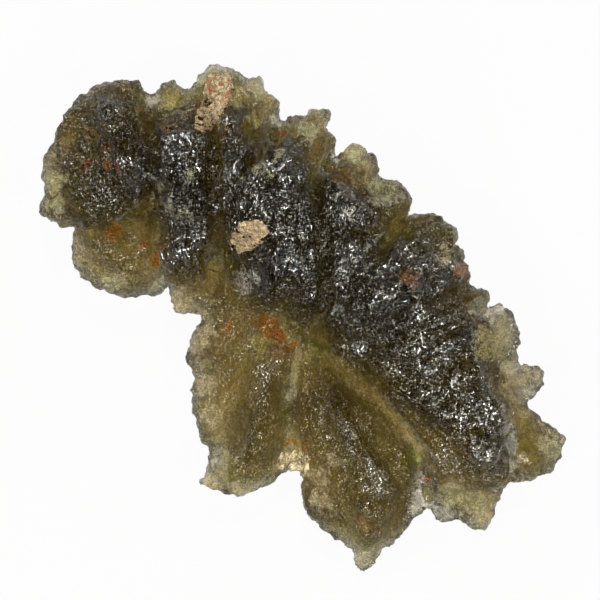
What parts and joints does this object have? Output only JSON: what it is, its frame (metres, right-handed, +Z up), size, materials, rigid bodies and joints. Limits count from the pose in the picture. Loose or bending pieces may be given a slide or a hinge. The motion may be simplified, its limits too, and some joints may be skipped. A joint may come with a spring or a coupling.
{
  "type": "raw moldavite",
  "caption": "Raw piece of olive-brown natural glass: a thick scalloped curved ridge with a thinner leaf-like skirt, etched all over, lying flat.",
  "frame": {"origin": "on the resting surface, below the middle of the stone's bounding box", "axes": "+Z up from the resting surface, through the stone's thickness; -X towards the round left lobe of the ridge, -Y towards the tip of the skirt"},
  "size_m": [0.0348, 0.0336, 0.012],
  "materials": {
    "etched_glass": "clear olive-brown natural glass, glossy on the crests and finely etched in the hollows, with tan and rust soil in some pits"
  },
  "bodies": {
    "root": {"moldavite": "etched_glass"}
  },
  "joints": []
}
